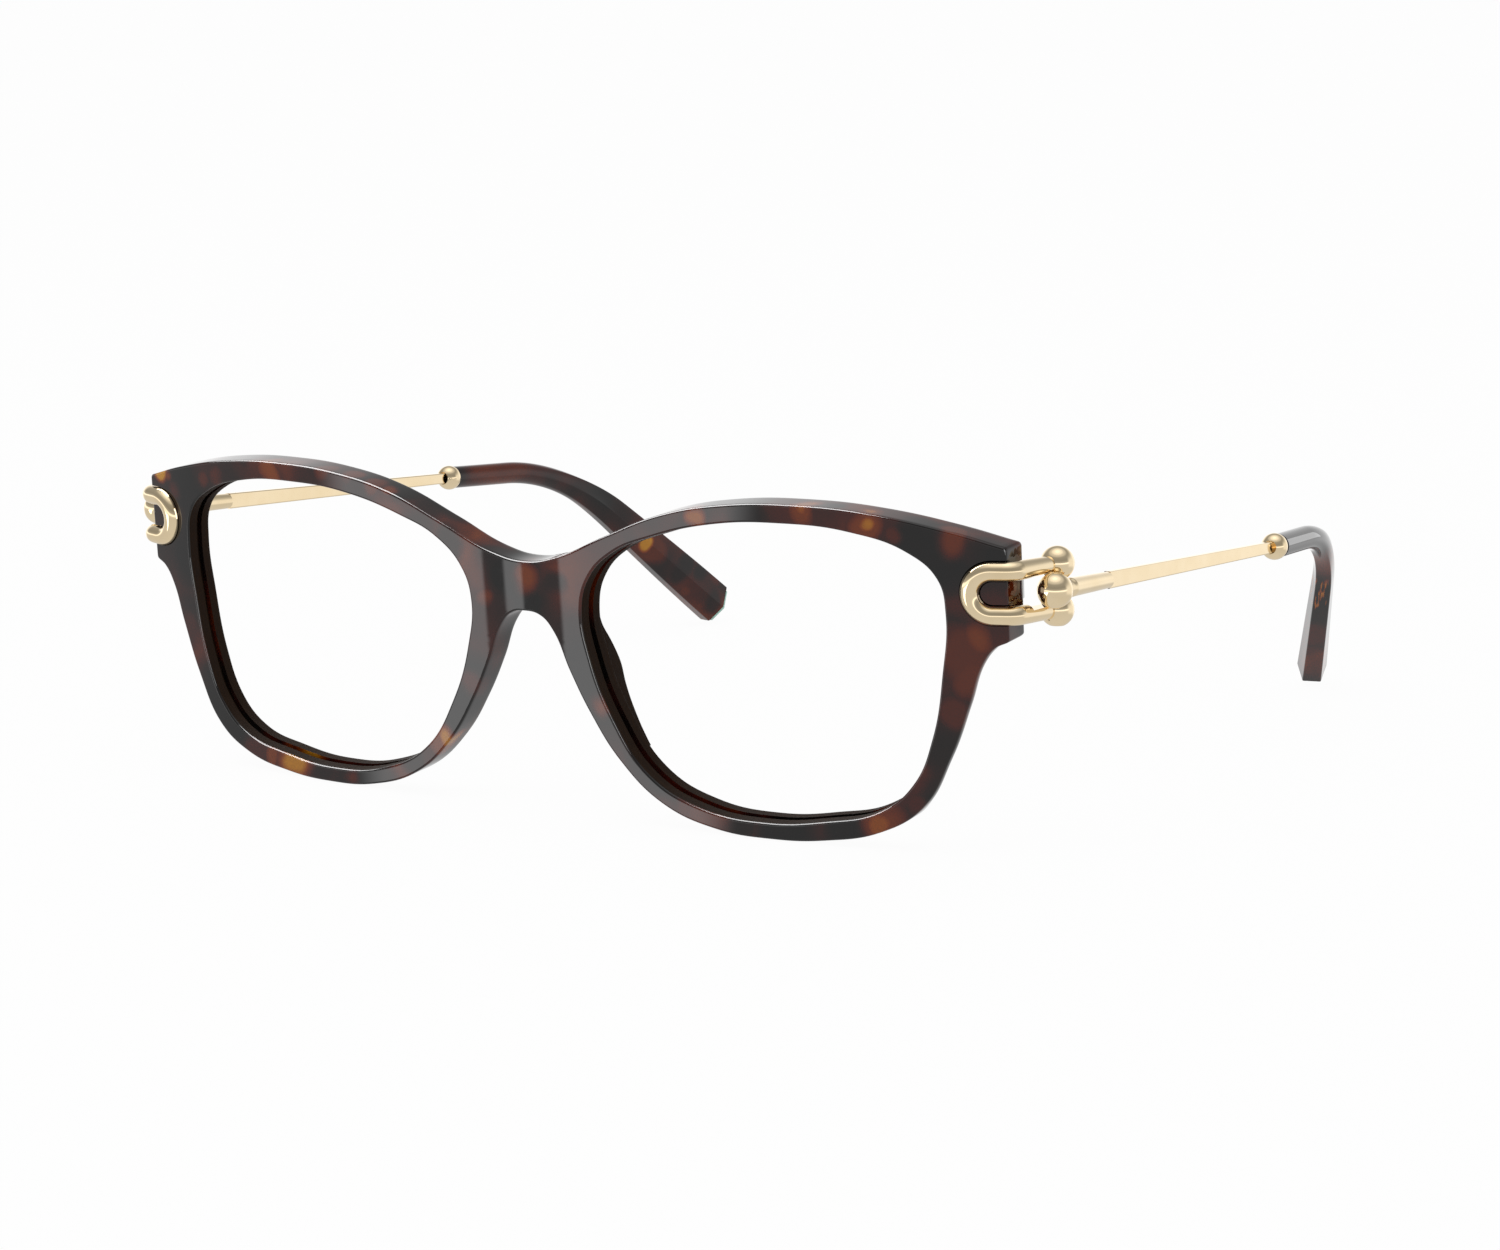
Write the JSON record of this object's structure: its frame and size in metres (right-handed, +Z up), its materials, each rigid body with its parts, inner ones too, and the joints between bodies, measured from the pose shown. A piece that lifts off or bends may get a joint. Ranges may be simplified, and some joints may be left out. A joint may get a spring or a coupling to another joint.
{
  "type": "eyeglasses frame",
  "caption": "Full-rim acetate eyeglasses frame with half-sunk metal shackle hinges, slim metal temples that fold and acetate ear tips.",
  "frame": {"origin": "on the table under the middle of the frame's overall box, with the temples open", "axes": "+X towards the wearer's left, +Y back along the temples, +Z up; the front faces -Y"},
  "size_m": [0.151, 0.14, 0.0455],
  "materials": {
    "acetate": "polished tortoiseshell",
    "gold_metal": "polished pale gold",
    "screw_steel": "plain",
    "washer_polymer": "plain",
    "mint_inlay": "polished"
  },
  "bodies": {
    "front": {"front_frame": "acetate", "nose_pad_left": "acetate", "shackle_left": "gold_metal", "hinge_screw_left": "screw_steel", "hinge_washer_upper_left": "washer_polymer", "hinge_washer_lower_left": "washer_polymer", "anchor_screw_upper_left": "screw_steel", "anchor_screw_lower_left": "screw_steel", "nose_pad_right": "acetate", "shackle_right": "gold_metal", "hinge_screw_right": "screw_steel", "hinge_washer_upper_right": "washer_polymer", "hinge_washer_lower_right": "washer_polymer", "anchor_screw_upper_right": "screw_steel", "anchor_screw_lower_right": "screw_steel"},
    "temple_left": {"temple_rod_left": "gold_metal", "temple_bar_left": "gold_metal", "ferrule_left": "gold_metal", "temple_tip_left": "acetate", "tip_inlay_left": "mint_inlay"},
    "temple_right": {"temple_rod_right": "gold_metal", "temple_bar_right": "gold_metal", "ferrule_right": "gold_metal", "temple_tip_right": "acetate", "tip_inlay_right": "mint_inlay"}
  },
  "joints": [
    {"name": "temple_fold_left", "type": "hinge", "parent": "front", "child": "temple_left", "pos_m": [0.0717, -0.05296, 0.03482], "axis": [0, 0, 1], "range_deg": [0, 80]},
    {"name": "temple_fold_right", "type": "hinge", "parent": "front", "child": "temple_right", "pos_m": [-0.0717, -0.05296, 0.03482], "axis": [0, 0, -1], "range_deg": [0, 84]}
  ]
}
